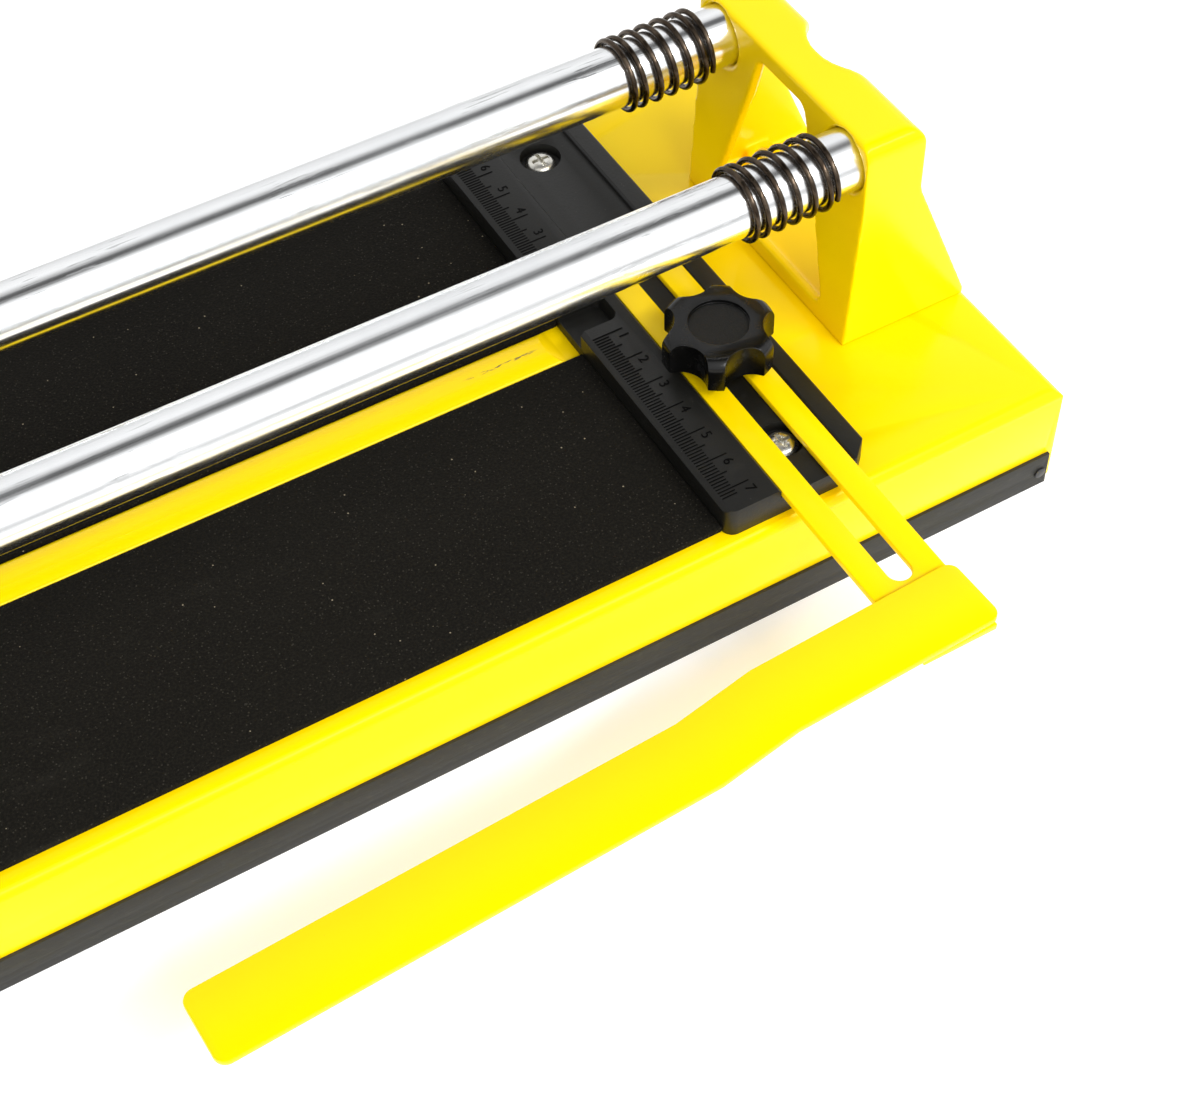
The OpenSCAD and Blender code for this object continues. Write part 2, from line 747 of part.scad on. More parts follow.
module foot_pad(side) {
    z0 = -foot_drop - foot_t - wing_drop;
    color("#202020") at_pivot() front_or_rear(side)
        translate([foot_u - foot_l / 2 + 1, foot_w / 2 - foot_pad_w, foot_v + z0 - foot_pad_t])
            cube([foot_l - 2, foot_pad_w - 1, foot_pad_t]);
}

base_plate();
pad(-1);  // pad_front
pad(1);  // pad_rear
strip(-1);  // strip_front
strip(1);  // strip_rear
rivet(1, -1);  // rivet_front_right
rivet(-1, -1);  // rivet_front_left
rivet(1, 1);  // rivet_rear_right
rivet(-1, 1);  // rivet_rear_left
fence();
fence_screw(-1);  // fence_screw_front
fence_screw(1);  // fence_screw_rear
clamp_bolt();
bracket(1);  // bracket_right
bracket(-1);  // bracket_left
bracket_screw(1, -1);  // bracket_screw_fr
bracket_screw(1, 1);  // bracket_screw_rr
bracket_screw(-1, -1);  // bracket_screw_fl
bracket_screw(-1, 1);  // bracket_screw_rl
rail(-1);  // rail_front
rail(1);  // rail_rear
spring(1, -1);  // spring_fr
spring(1, 1);  // spring_rr
spring(-1, -1);  // spring_fl
spring(-1, 1);  // spring_rl
stop_arm();
stop_bar();
clamp_washer();
knob();
carriage();
bush(1, -1);  // bush_fr
bush(1, 1);  // bush_rr
bush(-1, -1);  // bush_fl
bush(-1, 1);  // bush_rl
pivot_pin();
pin_nut();
lever();
handle_tube();
handle_grip();
wheel();
wheel_axle();
axle_nut();
foot();
foot_pin();
foot_pad(-1);  // foot_pad_front
foot_pad(1);  // foot_pad_rear
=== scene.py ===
"""Tile cutter: looks, light and camera for the model in model.glb."""
import math

import bmesh
import bpy
from mathutils import Matrix, Vector


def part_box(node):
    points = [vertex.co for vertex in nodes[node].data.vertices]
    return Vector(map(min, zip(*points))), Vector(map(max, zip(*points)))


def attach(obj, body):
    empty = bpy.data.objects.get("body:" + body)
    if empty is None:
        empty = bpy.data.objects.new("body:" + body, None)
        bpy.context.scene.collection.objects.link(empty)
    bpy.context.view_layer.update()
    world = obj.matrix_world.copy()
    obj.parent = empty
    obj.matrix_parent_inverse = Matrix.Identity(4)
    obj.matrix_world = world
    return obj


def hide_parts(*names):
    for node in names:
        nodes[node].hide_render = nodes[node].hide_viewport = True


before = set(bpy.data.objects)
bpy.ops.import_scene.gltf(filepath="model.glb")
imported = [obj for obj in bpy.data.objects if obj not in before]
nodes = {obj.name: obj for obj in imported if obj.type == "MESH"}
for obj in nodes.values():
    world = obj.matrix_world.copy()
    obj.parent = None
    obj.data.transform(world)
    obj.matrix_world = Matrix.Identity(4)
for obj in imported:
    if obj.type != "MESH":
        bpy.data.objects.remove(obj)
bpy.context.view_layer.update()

MM = 0.001
SHARP = math.radians(32)            # edges sharper than this are broken and shaded as edges
FULL_TURN = 2 * math.pi
DOUBLES = 0.001 * MM                # points closer than this are one point


# ---------------------------------------------------------------- shader maths

MIX_FACTOR, MIX_FIRST, MIX_SECOND = 0, 6, 7     # a colour Mix node's sockets
MIX_RESULT = 2

class Value:
    """A socket's value. Arithmetic on it adds Math nodes."""

    def __init__(self, graph, socket):
        self.graph = graph
        self.socket = socket

    def math(self, operation, first, second):
        return self.graph.node("ShaderNodeMath", {"operation": operation}, {0: first, 1: second})

    def __add__(self, other):
        return self.math("ADD", self, other)

    def __radd__(self, other):
        return self.math("ADD", other, self)

    def __sub__(self, other):
        return self.math("SUBTRACT", self, other)

    def __rsub__(self, other):
        return self.math("SUBTRACT", other, self)

    def __mul__(self, other):
        return self.math("MULTIPLY", self, other)

    def __rmul__(self, other):
        return self.math("MULTIPLY", other, self)

    def above(self, other):
        return self.math("GREATER_THAN", self, other)

    def below(self, other):
        return self.math("LESS_THAN", self, other)

    def size(self):
        return self.math("ABSOLUTE", self, 0.0)

    def clamped(self):
        return self.graph.node("ShaderNodeClamp", {}, {"Value": self})

    def between(self, low, high):
        """0 at low, 1 at high, smooth in between."""
        inputs = {"Value": self, "From Min": low, "From Max": high}
        return self.graph.node("ShaderNodeMapRange", {"interpolation_type": "SMOOTHSTEP"}, inputs)

    def part(self, letter):
        """The X, Y or Z of a vector."""
        return self.graph.node("ShaderNodeSeparateXYZ", {}, {"Vector": self}, out=letter)


class Graph:
    """A node tree that is built by one method."""

    def __init__(self, tree):
        self.tree = tree

    def node(self, kind, settings, inputs, out=0):
        made = self.tree.nodes.new(kind)
        for key, setting in settings.items():
            if key == "stops":
                self.fill_ramp(made.color_ramp, setting)
            else:
                setattr(made, key, setting)
        for key, value in inputs.items():
            self.feed(made.inputs[key], value)
        return Value(self, made.outputs[out])

    def fill_ramp(self, ramp, stops):
        while len(ramp.elements) < len(stops):
            ramp.elements.new(1.0)
        for element, (position, colour) in zip(ramp.elements, stops):
            element.position = position
            element.color = (*colour, 1.0)

    def feed(self, socket, value):
        if isinstance(value, Value):
            self.tree.links.new(value.socket, socket)
        else:
            socket.default_value = value


class Paint(Graph):
    """One material, built round a Principled shader. Its patterns sit on Object coordinates."""

    def __init__(self, name, colour, roughness, metallic=0.0):
        self.material = bpy.data.materials.new(name)
        self.material.use_nodes = True
        super().__init__(self.material.node_tree)
        self.shader = self.tree.nodes["Principled BSDF"]
        self.material.diffuse_color = (*colour, 1.0)
        self.set("Base Color", (*colour, 1.0))
        self.set("Roughness", roughness)
        self.set("Metallic", metallic)
        self.place = self.node("ShaderNodeTexCoord", {}, {}, out="Object")

    def set(self, name, value):
        self.feed(self.shader.inputs[name], value)

    def stretched(self, scale):
        return self.node("ShaderNodeMapping", {}, {"Vector": self.place, "Scale": scale})

    def noise(self, scale, detail=3.0, roughness=0.5, at=None):
        inputs = {"Vector": at or self.place, "Scale": scale, "Detail": detail, "Roughness": roughness}
        return self.node("ShaderNodeTexNoise", {}, inputs)

    def cells(self, scale, at=None):
        return self.node("ShaderNodeTexVoronoi", {}, {"Vector": at or self.place, "Scale": scale})

    def reach(self, centre, flatten):
        """Distance from the centre, after the axes with a 0 in flatten are pressed flat."""
        flat = self.stretched(flatten)
        middle = [part * keep for part, keep in zip(centre, flatten)]
        return self.node("ShaderNodeVectorMath", {"operation": "DISTANCE"}, {0: flat, 1: middle}, out="Value")

    def blend(self, factor, first, second):
        """Colour mix: the first where the factor is 0, the second where it is 1."""
        inputs = {MIX_FACTOR: factor, MIX_FIRST: self.colour(first), MIX_SECOND: self.colour(second)}
        return self.node("ShaderNodeMix", {"data_type": "RGBA"}, inputs, out=MIX_RESULT)

    def colour(self, value):
        return value if isinstance(value, Value) else (*value, 1.0)

    def bump(self, height, strength, distance):
        inputs = {"Height": height, "Strength": strength, "Distance": distance}
        self.set("Normal", self.node("ShaderNodeBump", {}, inputs))


# ---------------------------------------------------------------- materials

YELLOW = (0.97, 0.68, 0.0)
DEEP_YELLOW = (0.95, 0.59, 0.0)
YELLOW_GLOSS = (1.0, 0.86, 0.14, 1.0)
RUST_BROWN = (0.55, 0.36, 0.02)
PIT_BROWN = (0.50, 0.30, 0.02)
BARE_RIDGE = (0.10, 0.085, 0.05)


def yellow_enamel():
    paint = Paint("yellow_enamel", YELLOW, 0.3)
    drift = paint.noise(9.0, 2.0).between(0.35, 0.7)
    mottle = paint.noise(160.0, 3.0).between(0.3, 0.75)
    specks = paint.cells(260.0).below(0.035)
    colour = paint.blend(drift * 0.16 + mottle * 0.05, YELLOW, DEEP_YELLOW)
    colour = paint.blend(specks * 0.2, colour, RUST_BROWN)
    paint.set("Base Color", colour)
    paint.set("Roughness", 0.18 + drift * 0.05 + mottle * 0.04)
    paint.set("Specular Tint", YELLOW_GLOSS)
    peel = paint.noise(420.0, 2.0) * 0.7 + paint.noise(90.0, 1.0)
    paint.bump(peel, 0.035, 0.0005)
    return paint


def cast_yellow():
    """Enamel over a die casting: softer gloss and an uneven skin."""
    paint = Paint("yellow_on_casting", YELLOW, 0.34)
    drift = paint.noise(26.0, 3.0).between(0.3, 0.75)
    pits = paint.cells(420.0).below(0.05)
    colour = paint.blend(drift * 0.35, YELLOW, DEEP_YELLOW)
    colour = paint.blend(pits * 0.3, colour, PIT_BROWN)
    paint.set("Base Color", colour)
    paint.set("Roughness", 0.17 + drift * 0.08)
    paint.set("Specular Tint", YELLOW_GLOSS)
    paint.bump(paint.noise(90.0, 2.0) + paint.noise(500.0, 1.0) * 0.15, 0.09, 0.0007)
    return paint


def ridge_enamel(x0, x1):
    """The base's enamel, scuffed down to the metal along a short stretch of the ridge's crest."""
    paint = yellow_enamel()
    paint.material.name = "yellow_enamel_base"
    along = paint.place.part("X")
    across = paint.place.part("Y").size()
    fade = 6 * MM
    inside = along.between(x0, x0 + fade) * (1.0 - along.between(x1 - fade, x1))
    near = 1.0 - across.between(0.1 * MM, 0.7 * MM)
    broken = paint.noise(1.0, 4.0, 0.6, at=paint.stretched((520.0, 2600.0, 900.0))).between(0.50, 0.58)
    scuff = (inside * near * broken).clamped()
    enamel = Value(paint, paint.shader.inputs["Base Color"].links[0].from_socket)
    paint.set("Base Color", paint.blend(scuff, enamel, BARE_RIDGE))
    return paint


def pad_foam():
    paint = Paint("pad_foam", (0.026, 0.026, 0.026), 0.92)
    grain = paint.noise(1500.0, 2.0, 0.6)
    drift = paint.noise(14.0, 3.0).between(0.3, 0.8)
    dots = paint.cells(180.0).below(0.036)
    fine = paint.cells(800.0).below(0.16)
    lint = paint.noise(900.0, 2.0).above(0.72)
    smudge = paint.noise(30.0, 5.0, 0.7, at=paint.stretched((0.6, 1.6, 1.0))).between(0.56, 0.78)
    colour = paint.blend(grain.between(0.35, 0.75) * 0.8, (0.0028, 0.0024, 0.0016), (0.0125, 0.0112, 0.0078))
    colour = paint.blend(drift * 0.25, colour, (0.011, 0.0095, 0.0064))
    colour = paint.blend(fine * 0.7, colour, (0.040, 0.036, 0.027))
    colour = paint.blend(dots * 0.8, colour, (0.34, 0.29, 0.20))
    colour = paint.blend(smudge * 0.04 + lint * 0.12, colour, (0.16, 0.15, 0.12))
    paint.set("Base Color", colour)
    paint.set("Roughness", 0.86 + grain * 0.12)
    paint.set("Specular IOR Level", 0.12)
    paint.bump(grain + fine * 0.5 + drift * 0.4, 0.75, 0.0004)
    return paint


def strip_rubber():
    paint = Paint("strip_rubber", (0.05, 0.05, 0.052), 0.7)
    wear = paint.noise(60.0, 5.0, 0.65, at=paint.stretched((0.5, 1.0, 2.2))).between(0.42, 0.75)
    dust = paint.noise(420.0, 3.0).between(0.5, 0.8)
    worn = wear * 0.5 + dust * 0.25
    paint.set("Base Color", paint.blend(worn, (0.009, 0.0086, 0.0065), (0.045, 0.043, 0.030)))
    paint.set("Roughness", 0.6 + wear * 0.25)
    paint.bump(wear + dust * 0.3, 0.3, 0.0005)
    return paint


def black_moulding():
    paint = Paint("black_moulding", (0.018, 0.018, 0.019), 0.42)
    stipple = paint.noise(1300.0, 2.0)
    dust = paint.noise(220.0, 4.0, 0.7).between(0.56, 0.8)
    specks = paint.cells(340.0).below(0.045)
    colour = paint.blend(dust * 0.2, (0.0056, 0.0054, 0.0044), (0.027, 0.026, 0.021))
    paint.set("Base Color", paint.blend(specks * 0.25, colour, (0.12, 0.115, 0.10)))
    paint.set("Specular IOR Level", 0.3)
    paint.set("Roughness", 0.38 + dust * 0.2 + stipple * 0.08)
    paint.bump(stipple, 0.12, 0.0003)
    return paint


def mark_black():
    """The rule's raised marks, in a near-black paint that stands for the shade the marks show."""
    paint = Paint("mark_black", (0.001, 0.001, 0.001), 0.3)
    worn = paint.noise(300.0, 3.0).between(0.45, 0.8)
    paint.set("Base Color", paint.blend(worn * 0.3, (0.0008, 0.0008, 0.0008), (0.006, 0.006, 0.0055)))
    paint.set("Roughness", 0.5 + worn * 0.2)
    paint.set("Specular IOR Level", 0.06)
    return paint


def knob_plastic(middle, radius):
    """Satin thermoset: the disc in the top is stippled, the grip is smooth, with pale rubbed patches
    scattered over it.
    """
    paint = Paint("knob_plastic", (0.014, 0.014, 0.014), 0.36)
    disc = 1.0 - paint.reach(middle, (1, 1, 0)).between(radius * 0.94, radius * 0.98)
    stipple = paint.noise(1600.0, 3.0, 0.7)
    rubbed = paint.noise(340.0, 4.0).between(0.5, 0.8)
    grain = disc * stipple.between(0.4, 0.7) * 0.8
    colour = paint.blend(grain, (0.001, 0.001, 0.0009), (0.006, 0.0058, 0.0045))
    paint.set("Base Color", paint.blend(rubbed * 0.15, colour, (0.03, 0.029, 0.027)))
    paint.set("Specular IOR Level", 0.32)
    paint.set("Roughness", 0.24 + disc * 0.35 + rubbed * 0.12)
    paint.bump(stipple * (disc * 0.9 + 0.1), 0.5, 0.0004)
    return paint


def polished_chrome():
    paint = Paint("rail_chrome", (0.86, 0.87, 0.88), 0.1, 1.0)
    drawn = paint.noise(1.0, 4.0, 0.6, at=paint.stretched((5.0, 700.0, 700.0)))
    haze = paint.noise(34.0, 4.0, 0.6, at=paint.stretched((0.6, 1.0, 1.0))).between(0.4, 0.75)
    fleck = paint.noise(1.0, 2.0, 0.5, at=paint.stretched((90.0, 1500.0, 1500.0))).between(0.60, 0.70)
    patch = paint.noise(22.0, 2.0).between(0.45, 0.62)
    worn = fleck * patch
    colour = paint.blend(haze * 0.35 + drawn * 0.1, (0.90, 0.91, 0.92), (0.70, 0.72, 0.74))
    paint.set("Base Color", paint.blend(worn * 0.55, colour, (0.34, 0.35, 0.35)))
    paint.set("Roughness", 0.12 + haze * 0.10 + drawn * 0.10)
    paint.bump(drawn * 0.8 + haze * 0.6 + worn, 0.09, 0.0006)
    return paint


def zinc_plate():
    paint = Paint("zinc_plate", (0.66, 0.65, 0.60), 0.3, 1.0)
    bloom = paint.noise(240.0, 4.0, 0.6).between(0.35, 0.7)
    colour = paint.blend(bloom, (0.74, 0.73, 0.68), (0.50, 0.47, 0.40))
    paint.set("Base Color", colour)
    paint.set("Roughness", 0.22 + bloom * 0.22)
    paint.bump(paint.noise(900.0, 2.0) + bloom, 0.12, 0.0003)
    return paint


def spring_wire():
    paint = Paint("spring_wire", (0.09, 0.065, 0.05), 0.26, 1.0)
    scale = paint.noise(300.0, 4.0, 0.6).between(0.35, 0.72)
    paint.set("Base Color", paint.blend(scale, (0.045, 0.032, 0.022), (0.10, 0.076, 0.055)))
    paint.set("Roughness", 0.18 + scale * 0.16)
    paint.bump(scale, 0.05, 0.0002)
    return paint


def black_enamel():
    paint = Paint("black_enamel", (0.02, 0.02, 0.02), 0.36)
    texture = paint.noise(520.0, 3.0)
    drift = paint.noise(40.0, 3.0).between(0.35, 0.7)
    chips = paint.noise(150.0, 5.0, 0.7).above(0.76)
    colour = paint.blend(drift * 0.6, (0.014, 0.014, 0.015), (0.034, 0.033, 0.032))
    paint.set("Base Color", paint.blend(chips * 0.5, colour, (0.22, 0.21, 0.20)))
    paint.set("Roughness", 0.32 + drift * 0.14)
    paint.bump(texture, 0.2, 0.0004)
    return paint


def pale_nylon():
    paint = Paint("pale_nylon", (0.72, 0.68, 0.57), 0.45)
    cloud = paint.noise(90.0, 3.0).between(0.3, 0.7)
    paint.set("Base Color", paint.blend(cloud, (0.74, 0.71, 0.61), (0.63, 0.58, 0.46)))
    paint.set("Roughness", 0.4 + cloud * 0.15)
    paint.bump(paint.noise(800.0, 2.0), 0.1, 0.0003)
    return paint


def grip_rubber():
    paint = Paint("grip_rubber", (0.02, 0.02, 0.02), 0.62)
    skin = paint.noise(1100.0, 3.0)
    polish = paint.noise(30.0, 3.0).between(0.35, 0.7)
    paint.set("Base Color", paint.blend(polish, (0.014, 0.014, 0.014), (0.034, 0.033, 0.032)))
    paint.set("Roughness", 0.72 - polish * 0.22)
    paint.bump(skin, 0.35, 0.0004)
    return paint


def ground_steel(middle):
    """Tungsten steel, ground in rings about the wheel's axle."""
    paint = Paint("ground_wheel_steel", (0.45, 0.45, 0.46), 0.28, 1.0)
    rings = paint.node("ShaderNodeTexNoise", {"noise_dimensions": "1D"},
                       {"W": paint.reach(middle, (1, 0, 1)) * 9000.0, "Scale": 1.0, "Detail": 3.0})
    paint.set("Base Color", paint.blend(rings, (0.34, 0.34, 0.35), (0.60, 0.60, 0.61)))
    paint.set("Roughness", 0.2 + rings * 0.18)
    paint.bump(rings, 0.2, 0.0003)
    return paint


# ---------------------------------------------------------------- mesh helpers

def middle_of(node):
    low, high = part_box(node)
    return (Vector(low) + Vector(high)) / 2


def cad_copy(node):
    """A merged bmesh copy of a CAD node, its flat faces whole again."""
    bm = bmesh.new()
    bm.from_mesh(nodes[node].data)
    bmesh.ops.remove_doubles(bm, verts=bm.verts, dist=2 * DOUBLES)
    flat = math.radians(0.4)
    bmesh.ops.dissolve_limit(bm, angle_limit=flat, verts=bm.verts, edges=bm.edges)
    return bm


def round_edges(bm, width, segments):
    """Rounds every sharp edge."""
    edges = [edge for edge in bm.edges if edge.is_manifold and edge.calc_face_angle(0.0) > SHARP]
    bmesh.ops.bevel(bm, geom=edges, offset=width, offset_type="OFFSET", segments=segments, profile=0.5,
                    affect="EDGES", clamp_overlap=True, material=-1)


def as_piece(bm, name, body, paint, replaced=()):
    """Makes the bmesh a visible piece that rides on a body."""
    mesh = bpy.data.meshes.new(name)
    bm.normal_update()
    for face in bm.faces:
        face.smooth = True
    for edge in bm.edges:
        edge.smooth = not edge.is_manifold or edge.calc_face_angle(0.0) < SHARP
    bm.to_mesh(mesh)
    bm.free()
    piece = bpy.data.objects.new(name, mesh)
    bpy.context.scene.collection.objects.link(piece)
    mesh.materials.append(paint.material)
    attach(piece, body)
    if replaced:
        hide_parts(*replaced)
    return piece


def eased(node, body, paint, width, segments=2):
    """The CAD node with its edges broken."""
    bm = cad_copy(node)
    round_edges(bm, width, segments)
    return as_piece(bm, node + "_eased", body, paint, [node])


def turned(outline, steps, centre, axis):
    """Spins an outline of (reach, along) points about an axis through the centre."""
    bm = bmesh.new()
    turn = Vector((0, 0, 1)).rotation_difference(Vector(axis)).to_matrix()
    verts = [bm.verts.new(Vector(centre) + turn @ Vector((reach, 0.0, along))) for reach, along in outline]
    edges = [bm.edges.new(pair) for pair in zip(verts, verts[1:])]
    bmesh.ops.spin(bm, geom=verts + edges, cent=centre, axis=axis, angle=FULL_TURN, steps=steps,
                   use_merge=True)
    bmesh.ops.remove_doubles(bm, verts=bm.verts, dist=DOUBLES)
    bmesh.ops.recalc_face_normals(bm, faces=bm.faces)
    return bm


# ---------------------------------------------------------------- pieces

def rail(node, paint):
    """A chromed tube, rounder than the CAD one, its ends chamfered."""
    low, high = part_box(node)
    centre = middle_of(node)
    radius = (high[2] - low[2]) / 2
    half = (high[0] - low[0]) / 2
    wall = 1.5 * MM
    bore = radius - wall
    lip = 0.4 * MM
    sides = 96
    outline = [(bore, -half), (radius - lip, -half), (radius, -half + lip),
               (radius, half - lip), (radius - lip, half), (bore, half), (bore, -half)]
    as_piece(turned(outline, sides, centre, (1, 0, 0)), node + "_tube", "base", paint, [node])


def coil(node, paint):
    """A round-wire spring: close turns at the ends, open turns between, its tails cut square."""
    low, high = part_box(node)
    centre = middle_of(node)
    length = high[0] - low[0]
    wire = 0.75 * MM                # radius of the wire
    reach = 9.15 * MM               # radius of the coil
    tail = math.radians(-75)        # where the first turn starts
    side = 1 if centre[0] > 0 else -1
    on_rail = middle_of("rail_front" if centre[1] < 0 else "rail_rear")
    start = Vector((centre[0] - side * (length / 2 - wire), on_rail[1], on_rail[2]))
    close = 1.95 * MM
    turns_open = 4.5
    open_pitch = (length - 2 * wire - 2 * close) / turns_open
    steps = 32
    bm = bmesh.new()
    ring = bmesh.ops.create_circle(bm, cap_ends=True, radius=wire, segments=12)["verts"]
    place = (Matrix.Translation(start) @ Matrix.Rotation(side * tail, 4, "X")
             @ Matrix.Translation((0, 0, reach)) @ Matrix.Rotation(math.radians(90), 4, "X"))
    bmesh.ops.transform(bm, verts=ring, matrix=place)
    live = list(bm.faces)
    for turns, pitch in ((1, close), (turns_open, open_pitch), (1, close)):
        count = round(turns * steps)
        spun = bmesh.ops.spin(bm, geom=live, cent=start, axis=(side, 0, 0), angle=FULL_TURN * turns,
                              steps=count, dvec=(side * pitch / steps, 0, 0))
        live = [item for item in spun["geom_last"] if isinstance(item, bmesh.types.BMFace)]
    caps = [face for face in bm.faces if len(face.verts) > 4]
    caps.sort(key=lambda face: side * face.calc_center_median().x)
    bmesh.ops.delete(bm, geom=caps[1:-1], context="FACES_ONLY")
    bmesh.ops.remove_doubles(bm, verts=bm.verts, dist=DOUBLES)
    bmesh.ops.recalc_face_normals(bm, faces=bm.faces)
    as_piece(bm, node + "_coil", "base", paint, [node])


def casting(node, paint):
    """The bracket with the soft edges of a die casting."""
    bm = cad_copy(node)
    bmesh.ops.triangulate(bm, faces=bm.faces)
    piece = as_piece(bm, node + "_casting", "base", paint, [node])
    remesh = piece.modifiers.new("even skin", "REMESH")
    remesh.mode = "VOXEL"
    remesh.voxel_size = 0.55 * MM
    remesh.use_smooth_shade = True
    soften = piece.modifiers.new("soft edges", "SMOOTH")
    soften.factor = 0.5
    soften.iterations = 9
    freeze(piece)
    for polygon in piece.data.polygons:
        polygon.use_smooth = True


def freeze(piece):
    """Applies a piece's modifiers."""
    graph = bpy.context.evaluated_depsgraph_get()
    mesh = bpy.data.meshes.new_from_object(piece.evaluated_get(graph))
    piece.modifiers.clear()
    piece.data = mesh


def numeral(text, middle, size, height, turn):
    """One digit standing a little proud of the rule."""
    curve = bpy.data.curves.new("digit", "FONT")
    curve.body = text
    curve.size = size
    curve.extrude = height
    curve.align_x = "CENTER"
    curve.align_y = "CENTER"
    curve.resolution_u = 3
    maker = bpy.data.objects.new("digit", curve)
    bpy.context.scene.collection.objects.link(maker)
    graph = bpy.context.evaluated_depsgraph_get()
    bpy.context.view_layer.update()
    mesh = bpy.data.meshes.new_from_object(maker.evaluated_get(graph))
    bpy.data.objects.remove(maker)
    mesh.transform(Matrix.Translation(middle) @ Matrix.Rotation(turn, 4, "Z"))
    return mesh


def mark_length(millimetre):
    """Long marks at the centimetres, middling ones half way, short ones elsewhere."""
    if millimetre % 10 == 0:
        return 8.7 * MM
    return 5.7 * MM if millimetre % 5 == 0 else 4.2 * MM


def scale_marks(paint):
    """Millimetre marks and numerals on the rule, to both sides of the middle."""
    low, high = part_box("fence")
    top = high[2]
    left = low[0] + 1.3 * MM
    proud = 0.12 * MM
    mark_w = 0.30 * MM
    digit_h = 3.9 * MM
    digit_in = 7.7 * MM             # from the marks' left ends to a digit's middle
    digit_past = 2.4 * MM           # from a centimetre mark to its digit's middle
    bm = bmesh.new()
    for side in (-1, 1):
        for millimetre in range(10, 73):
            length = mark_length(millimetre)
            mark = bmesh.ops.create_cube(bm, size=1.0)["verts"]
            bmesh.ops.scale(bm, verts=mark, vec=(length, mark_w, 2 * proud))
            bmesh.ops.translate(bm, verts=mark, vec=Vector((left + length / 2, side * millimetre * MM, top)))
        for centimetre in range(1, 8):
            spot = Vector((left + digit_in, side * (centimetre * 10 * MM + digit_past), top))
            mesh = numeral(str(centimetre), spot, digit_h, proud, math.radians(-90))
            bm.from_mesh(mesh)
            bpy.data.meshes.remove(mesh)
    as_piece(bm, "rule_marks", "base", paint)


# ---------------------------------------------------------------- scene

def floor():
    """A white bench, greyer in the foreground, where only the rails see it."""
    bm = bmesh.new()
    bmesh.ops.create_grid(bm, x_segments=2, y_segments=2, size=6.0)
    mesh = bpy.data.meshes.new("bench")
    bm.to_mesh(mesh)
    bm.free()
    bench = bpy.data.objects.new("bench", mesh)
    bpy.context.scene.collection.objects.link(bench)
    paint = Paint("white_bench", (0.93, 0.93, 0.93), 0.7)
    haze = paint.noise(2.0, 2.0)
    front = 1.0 - paint.place.part("Y").between(-0.75, -0.36)
    white = paint.blend(haze * 0.3, (0.94, 0.94, 0.94), (0.90, 0.90, 0.90))
    paint.set("Base Color", paint.blend(front, white, (0.52, 0.52, 0.52)))
    paint.set("Specular IOR Level", 0.15)
    paint.set("Emission Color", paint.blend(front, (1.0, 1.0, 0.98), (0.0, 0.0, 0.0)))
    paint.set("Emission Strength", 0.2)
    mesh.materials.append(paint.material)


def camera():
    forward = Vector((0.2990, 0.5483, -0.7810)).normalized()
    level = forward.cross(Vector((0, 0, 1))).normalized()
    upright = level.cross(forward)
    roll = math.radians(-1.98)
    right = level * math.cos(roll) + upright * math.sin(roll)
    up = upright * math.cos(roll) - level * math.sin(roll)
    data = bpy.data.cameras.new("camera")
    data.sensor_fit = "HORIZONTAL"
    data.sensor_width = 36.0
    data.lens = 65.8
    data.clip_start = 0.01
    holder = bpy.data.objects.new("camera", data)
    bpy.context.scene.collection.objects.link(holder)
    turn = Matrix((right, up, -forward)).transposed().to_4x4()
    holder.matrix_world = Matrix.Translation((0.0131, -0.3550, 0.4441)) @ turn
    bpy.context.scene.camera = holder


def soft_box(name, place, target, width, height, power):
    data = bpy.data.lights.new(name, "AREA")
    data.shape = "RECTANGLE"
    data.size = width
    data.size_y = height
    data.energy = power
    lamp = bpy.data.objects.new(name, data)
    bpy.context.scene.collection.objects.link(lamp)
    lamp.location = place
    lamp.rotation_euler = (Vector(target) - Vector(place)).to_track_quat("-Z", "Y").to_euler()


# brightness of the tent by direction: 0 is level behind, 0.5 straight up, 1 level in front
TENT = ((0.0, 0.50), (0.12, 0.64), (0.29, 0.76), (0.34, 0.66), (0.395, 0.42), (0.44, 0.07),
        (0.495, 0.05), (0.54, 0.28), (0.58, 0.70), (0.63, 1.0), (0.93, 1.0), (0.975, 0.50), (1.0, 0.44))


def studio():
    """A white tent with one dark slot just behind the top, and a long lamp in front."""
    world = bpy.data.worlds.new("studio")
    bpy.context.scene.world = world
    world.use_nodes = True
    graph = Graph(world.node_tree)
    direction = graph.node("ShaderNodeTexCoord", {}, {}, out="Generated")
    lean = direction.part("Z").math("ARCTAN2", direction.part("Z"), direction.part("Y"))
    stops = [(position, (level, level, level)) for position, level in TENT]
    ramp = graph.node("ShaderNodeValToRGB", {"stops": stops}, {"Fac": lean * (1 / math.pi)})
    sky = graph.tree.nodes["Background"]
    graph.feed(sky.inputs["Color"], ramp)
    graph.feed(sky.inputs["Strength"], 1.45)
    soft_box("front box", (0.45, -0.92, 1.0), (0.15, -0.05, 0.03), 1.1, 0.14, 13.0)


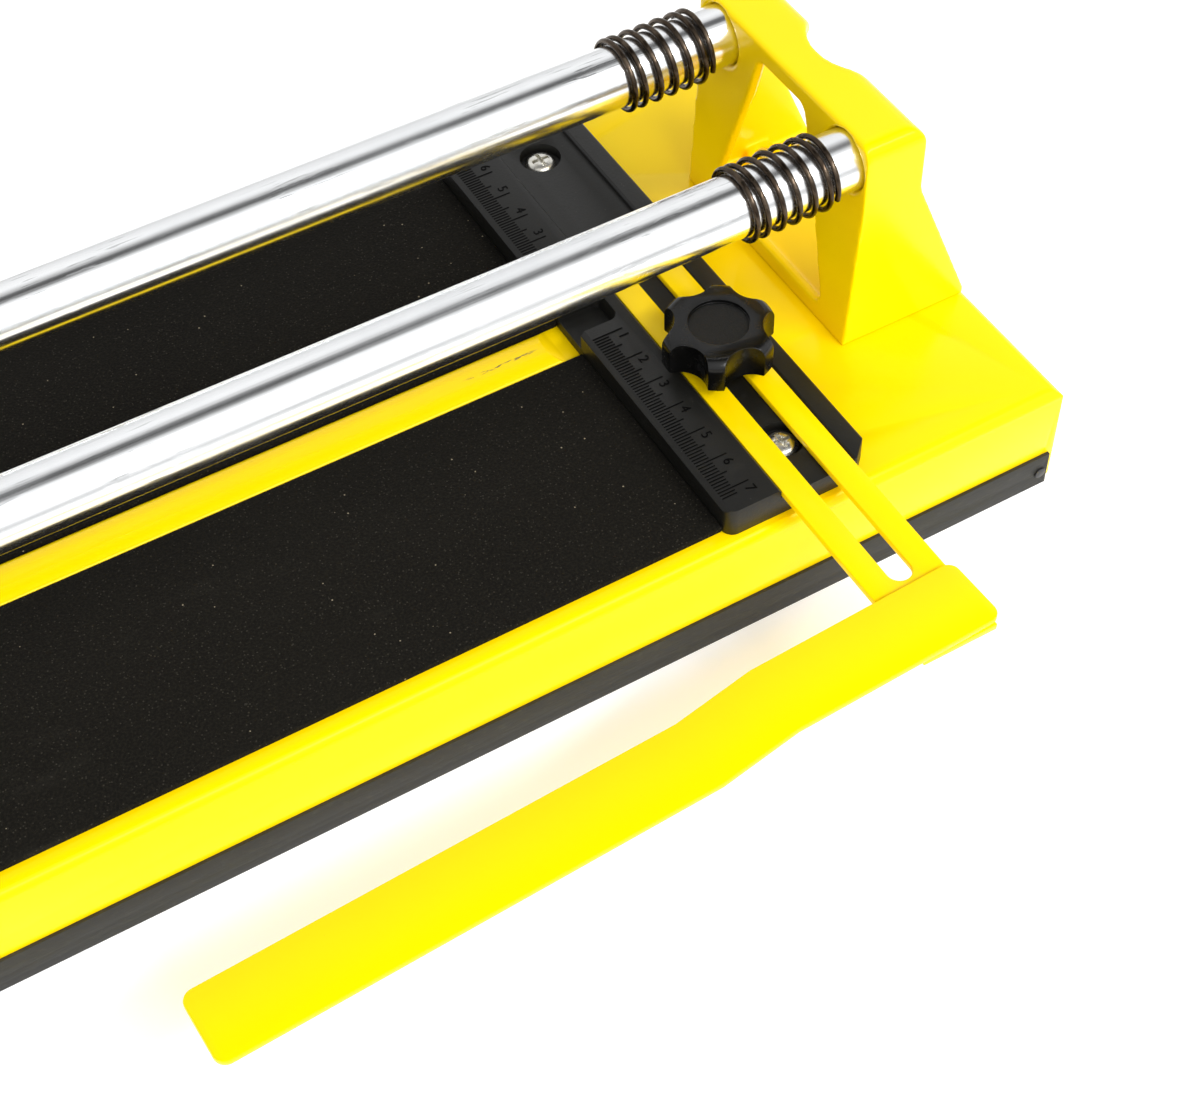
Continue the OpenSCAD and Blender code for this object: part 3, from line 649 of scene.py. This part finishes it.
def everything():
    enamel = yellow_enamel()
    cast = cast_yellow()
    scuff_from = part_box("fence")[0][0] - 32 * MM
    scuff_l = 24 * MM
    base = ridge_enamel(scuff_from, scuff_from + scuff_l)
    foam = pad_foam()
    rubber = strip_rubber()
    moulding = black_moulding()
    chrome = polished_chrome()
    zinc = zinc_plate()
    wire = spring_wire()
    black = black_enamel()
    nylon = pale_nylon()
    grip = grip_rubber()
    recess_r = 7.8 * MM
    knob_skin = knob_plastic(middle_of("knob"), recess_r)
    steel = ground_steel(middle_of("wheel"))

    eased("base_plate", "base", base, 0.35 * MM)
    for side in ("front", "rear"):
        eased("pad_" + side, "base", foam, 0.35 * MM)
        eased("strip_" + side, "base", rubber, 0.3 * MM)
        rail("rail_" + side, chrome)
        eased("fence_screw_" + side, "base", zinc, 0.15 * MM)
        eased("foot_pad_" + side, "foot", grip, 0.4 * MM)
        for end in ("right", "left"):
            eased(f"rivet_{side}_{end}", "base", black, 0.15 * MM)
    for end in ("right", "left"):
        casting("bracket_" + end, cast)
    for corner in ("fr", "rr", "fl", "rl"):
        coil("spring_" + corner, wire)
        eased("bracket_screw_" + corner, "base", zinc, 0.2 * MM)
        eased("bush_" + corner, "carriage", nylon, 0.4 * MM)
    eased("fence", "base", moulding, 0.25 * MM)
    # the rule's marks take a near-black paint that stands for their shade
    scale_marks(mark_black())
    eased("clamp_bolt", "base", zinc, 0.3 * MM)
    eased("clamp_washer", "base", zinc, 0.2 * MM)
    eased("stop_arm", "side_stop", enamel, 0.35 * MM)
    eased("stop_bar", "side_stop", enamel, 0.4 * MM)
    eased("knob", "knob", knob_skin, 0.35 * MM, 3)
    eased("carriage", "carriage", black, 0.8 * MM)
    eased("pivot_pin", "carriage", zinc, 0.5 * MM)
    eased("pin_nut", "carriage", zinc, 0.3 * MM)
    eased("lever", "lever", black, 0.8 * MM)
    eased("handle_tube", "lever", chrome, 0.3 * MM)
    eased("handle_grip", "lever", grip, 0.8 * MM)
    eased("wheel", "wheel", steel, 0.05 * MM)
    eased("wheel_axle", "lever", zinc, 0.4 * MM)
    eased("axle_nut", "lever", zinc, 0.3 * MM)
    eased("foot", "foot", black, 0.5 * MM)
    eased("foot_pin", "lever", zinc, 0.4 * MM)


bpy.context.scene.view_settings.view_transform = "Standard"
camera()
studio()
floor()
everything()
